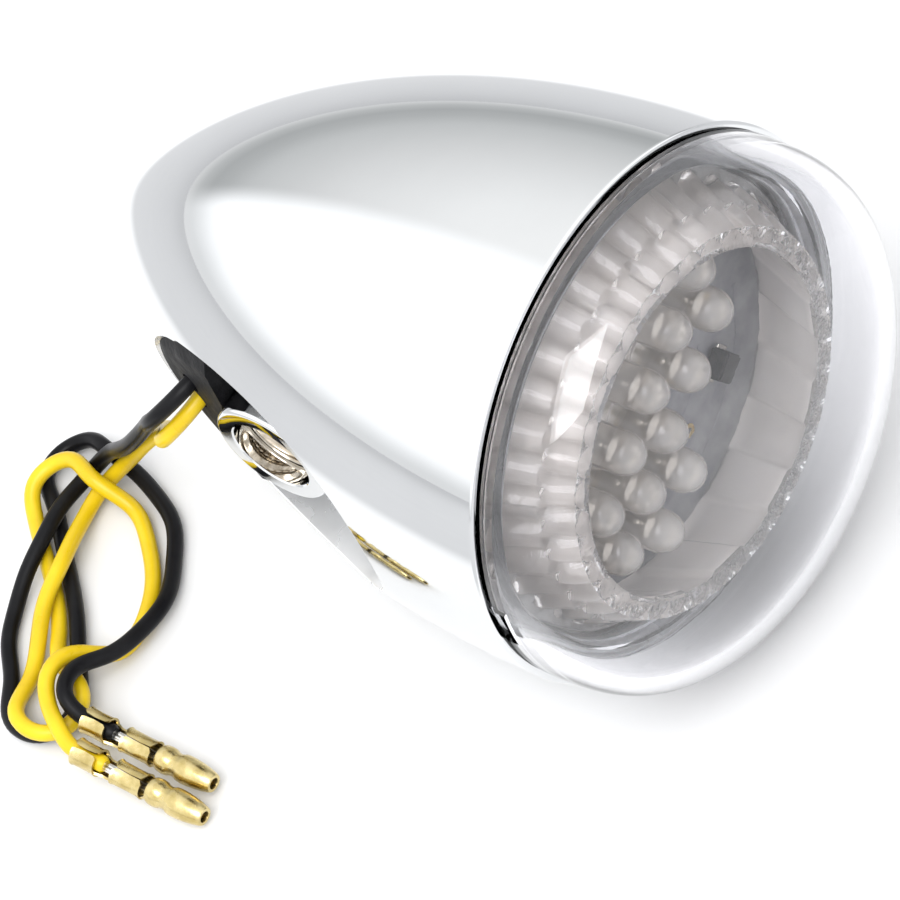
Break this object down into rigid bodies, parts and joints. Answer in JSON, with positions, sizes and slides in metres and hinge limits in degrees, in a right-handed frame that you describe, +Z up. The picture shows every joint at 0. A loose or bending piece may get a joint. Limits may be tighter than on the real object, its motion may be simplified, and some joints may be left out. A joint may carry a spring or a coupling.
{
  "type": "turn signal indicator",
  "caption": "Chromed bullet turn signal with a clear LED lens, a threaded side boss in a recess and two leads with bullet connectors.",
  "frame": {"origin": "on the surface the lamp lies on, under the middle of the housing and lens together; the leads are not counted", "axes": "+Y along the bullet's axis towards its tip, so the lens looks along -Y; -X out of the mounting boss; +Z up from the surface"},
  "size_m": [0.0888, 0.1054, 0.065],
  "materials": {
    "chrome": "mirror-polished plating on a die-cast housing",
    "steel": "turned and threaded",
    "black_rubber": "moulded, matte",
    "pale_silicone": "moulded silicone, pale and slightly translucent",
    "clear_plastic": "clear moulded polycarbonate, glossy",
    "guide_plastic": "clear moulded plastic with flutes, slightly warm",
    "board": "dark solder mask",
    "led_epoxy": "clear epoxy, glossy",
    "ceramic": "glazed chip with bright ends",
    "moulded_case": "moulded epoxy",
    "black_pvc": "extruded insulation, satin",
    "yellow_pvc": "extruded insulation, satin",
    "solder": "bright solder",
    "brass": "stamped and rolled, bright"
  },
  "bodies": {
    "housing": {"housing": "chrome", "threaded_insert": "steel", "wire_grommet": "black_rubber", "light_guide": "guide_plastic", "circuit_board": "board", "led_01": "led_epoxy", "led_02": "led_epoxy", "led_03": "led_epoxy", "led_04": "led_epoxy", "led_05": "led_epoxy", "led_06": "led_epoxy", "led_07": "led_epoxy", "led_08": "led_epoxy", "led_09": "led_epoxy", "led_10": "led_epoxy", "led_11": "led_epoxy", "led_12": "led_epoxy", "resistor_1": "ceramic", "resistor_2": "ceramic", "resistor_3": "ceramic", "resistor_4": "ceramic", "rectifier_diode": "moulded_case", "lead_black": "black_pvc", "lead_yellow": "yellow_pvc", "solder_black": "solder", "solder_yellow": "solder", "wire_black": "black_pvc", "wire_yellow": "yellow_pvc", "connector_black": "brass", "connector_yellow": "brass"},
    "lens": {"lens": "clear_plastic", "lens_seal": "pale_silicone"}
  },
  "joints": [
    {"name": "lens_pull", "type": "slide", "parent": "housing", "child": "lens", "axis": [0, -1, 0], "range_m": [0, 0.03]}
  ]
}
